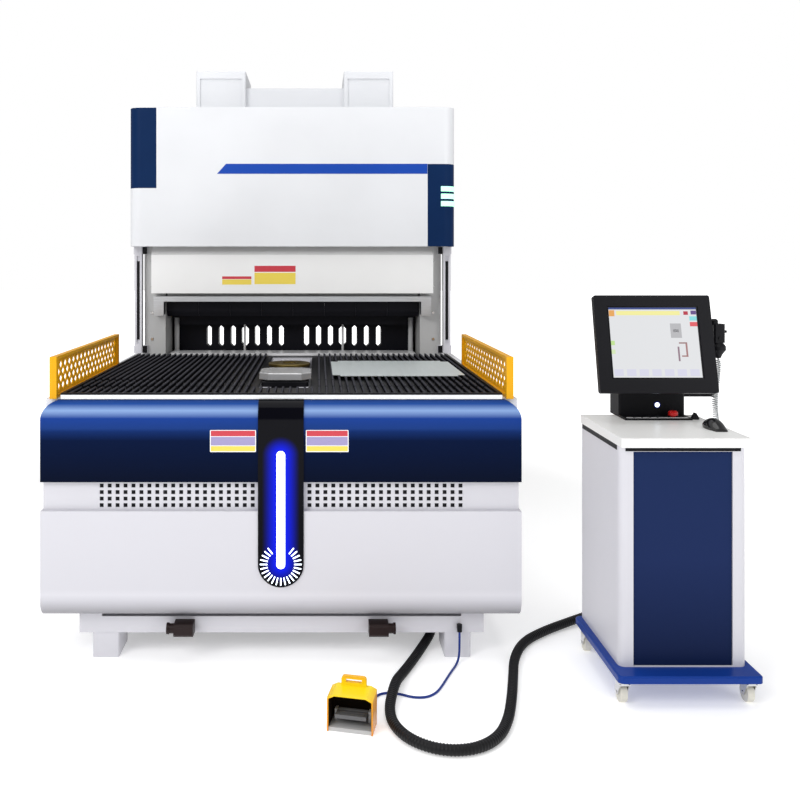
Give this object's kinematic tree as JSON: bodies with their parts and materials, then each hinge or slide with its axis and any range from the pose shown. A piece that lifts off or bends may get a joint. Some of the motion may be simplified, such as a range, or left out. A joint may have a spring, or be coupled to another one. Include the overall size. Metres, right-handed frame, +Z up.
{
  "type": "panel bender",
  "caption": "Compact sheet-metal panel bender with press ram, bending blades, brush table, manipulator, side guards, foot pedal and a wheeled console with a tilting screen.",
  "frame": {"origin": "on the floor at the centre of the four anchored feet of the press", "axes": "+X to the operator's right, +Y from the operator into the machine, +Z up"},
  "size_m": [2.453, 3.0878, 2.487],
  "materials": {
    "white_paint": "satin",
    "cream_paint": "satin",
    "head_grey": "satin",
    "navy_paint": "gloss",
    "corner_paint": "satin",
    "frame_grey": "satin",
    "machined_steel": "satin",
    "tool_steel": "satin",
    "black_steel": "matt",
    "guard_yellow": "satin",
    "pedal_yellow": "gloss",
    "black_plastic": "matt",
    "black_gloss": "gloss",
    "brush_bristle": "matt",
    "white_light": "gloss",
    "lamp_light": "gloss",
    "disc_brass": "satin",
    "block_steel": "satin",
    "blank_steel": "satin",
    "treadle_grey": "matt",
    "tray_blue": "satin",
    "panel_blue": "satin",
    "screen_glass": "gloss",
    "red_plastic": "gloss",
    "caster_chrome": "polished",
    "wheel_tread": "satin",
    "hose_rubber": "matt",
    "cable_blue": "satin",
    "curly_grey": "satin"
  },
  "bodies": {
    "machine": {"base_frame": "white_paint", "support_feet": "white_paint", "lower_front_panel": "white_paint", "perforated_band": "white_paint", "front_fascia": "navy_paint", "light_panel": "black_gloss", "light_bar": "white_light", "side_covers": "white_paint", "rear_cover": "white_paint", "table_apron": "black_steel", "table_plate": "black_steel", "brush_strips": "brush_bristle", "sheet_blank": "blank_steel", "side_guards": "guard_yellow", "press_frame": "frame_grey", "lower_tool": "machined_steel", "ram_actuators": "machined_steel", "head_cover": "head_grey", "corner_panels": "corner_paint", "signal_lamps": "lamp_light", "tower_covers": "head_grey", "curtain_posts": "white_paint", "lifting_lugs": "black_steel", "pedal_base": "frame_grey", "pedal_cover": "pedal_yellow", "console_tray": "tray_blue", "console_cabinet": "white_paint", "console_front_panel": "panel_blue", "console_desk": "white_paint", "console_stand": "black_steel", "mouse": "black_gloss", "handset": "black_plastic", "hose": "hose_rubber", "pedal_cable": "cable_blue", "curly_cord": "curly_grey", "cable_glands": "black_plastic"},
    "ram": {"ram_beam": "frame_grey", "ram_cover": "cream_paint", "tool_rail": "machined_steel", "upper_tools": "tool_steel"},
    "saddle": {"blade_saddle": "frame_grey"},
    "bender": {"blade_frame": "tool_steel", "bending_blades": "machined_steel"},
    "manipulator": {"manipulator_carriage": "machined_steel", "clamp_block": "block_steel"},
    "rotary": {"rotary_disc": "disc_brass"},
    "treadle": {"pedal_treadle": "treadle_grey"},
    "estop": {"estop_button": "red_plastic"},
    "power": {"power_button": "white_light"},
    "selector": {"selector_knob": "black_plastic"},
    "display": {"monitor": "black_plastic", "screen": "screen_glass"},
    "fork_front_left": {"caster_fork_front_left": "caster_chrome"},
    "wheel_front_left": {"caster_wheel_front_left": "wheel_tread"},
    "fork_rear_left": {"caster_fork_rear_left": "caster_chrome"},
    "wheel_rear_left": {"caster_wheel_rear_left": "wheel_tread"},
    "fork_front_right": {"caster_fork_front_right": "caster_chrome"},
    "wheel_front_right": {"caster_wheel_front_right": "wheel_tread"},
    "fork_rear_right": {"caster_fork_rear_right": "caster_chrome"},
    "wheel_rear_right": {"caster_wheel_rear_right": "wheel_tread"}
  },
  "joints": [
    {"name": "ram_slide", "type": "slide", "parent": "machine", "child": "ram", "axis": [0, 0, 1], "range_m": [-0.184, 0]},
    {"name": "saddle_slide", "type": "slide", "parent": "machine", "child": "saddle", "axis": [0, 1, 0], "range_m": [-0.012, 0.012]},
    {"name": "bender_slide", "type": "slide", "parent": "saddle", "child": "bender", "axis": [0, 0, 1], "range_m": [-0.14, 0.1]},
    {"name": "manipulator_slide", "type": "slide", "parent": "machine", "child": "manipulator", "axis": [0, 1, 0], "range_m": [-0.05, 0.33]},
    {"name": "rotary_spin", "type": "hinge", "parent": "manipulator", "child": "rotary", "pos_m": [0, -0.309, 0.95], "axis": [0, 0, 1], "continuous": true},
    {"name": "treadle_hinge", "type": "hinge", "parent": "machine", "child": "treadle", "pos_m": [0.23872, -1.63954, 0.036], "axis": [0.9744, -0.225, 0], "range_deg": [0, 12], "stiffness_Nm_per_rad": 12, "springref_deg": -11.46},
    {"name": "estop_press", "type": "slide", "parent": "machine", "child": "estop", "axis": [0, 0, 1], "range_m": [-0.005, 0], "stiffness_N_per_m": 2000, "springref_m": 0.002},
    {"name": "power_press", "type": "slide", "parent": "machine", "child": "power", "axis": [0, 1, 0], "range_m": [0, 0.003], "stiffness_N_per_m": 1500, "springref_m": -0.002},
    {"name": "selector_turn", "type": "hinge", "parent": "machine", "child": "selector", "pos_m": [1.486, -1.162, 0.851], "axis": [0, 0, 1], "range_deg": [-45, 45]},
    {"name": "display_tilt", "type": "hinge", "parent": "machine", "child": "display", "pos_m": [1.327, -1.1, 1.127], "axis": [1, 0, 0], "range_deg": [-10, 15]},
    {"name": "swivel_front_left", "type": "hinge", "parent": "machine", "child": "fork_front_left", "pos_m": [1.109, -1.52, 0.075], "axis": [0, 0, 1], "continuous": true},
    {"name": "roll_front_left", "type": "hinge", "parent": "fork_front_left", "child": "wheel_front_left", "pos_m": [1.109, -1.496, 0.03], "axis": [1, 0, 0], "continuous": true},
    {"name": "swivel_rear_left", "type": "hinge", "parent": "machine", "child": "fork_rear_left", "pos_m": [1.109, -1.14, 0.075], "axis": [0, 0, 1], "continuous": true},
    {"name": "roll_rear_left", "type": "hinge", "parent": "fork_rear_left", "child": "wheel_rear_left", "pos_m": [1.109, -1.116, 0.03], "axis": [1, 0, 0], "continuous": true},
    {"name": "swivel_front_right", "type": "hinge", "parent": "machine", "child": "fork_front_right", "pos_m": [1.515, -1.52, 0.075], "axis": [0, 0, 1], "continuous": true},
    {"name": "roll_front_right", "type": "hinge", "parent": "fork_front_right", "child": "wheel_front_right", "pos_m": [1.515, -1.496, 0.03], "axis": [1, 0, 0], "continuous": true},
    {"name": "swivel_rear_right", "type": "hinge", "parent": "machine", "child": "fork_rear_right", "pos_m": [1.515, -1.14, 0.075], "axis": [0, 0, 1], "continuous": true},
    {"name": "roll_rear_right", "type": "hinge", "parent": "fork_rear_right", "child": "wheel_rear_right", "pos_m": [1.515, -1.116, 0.03], "axis": [1, 0, 0], "continuous": true}
  ]
}
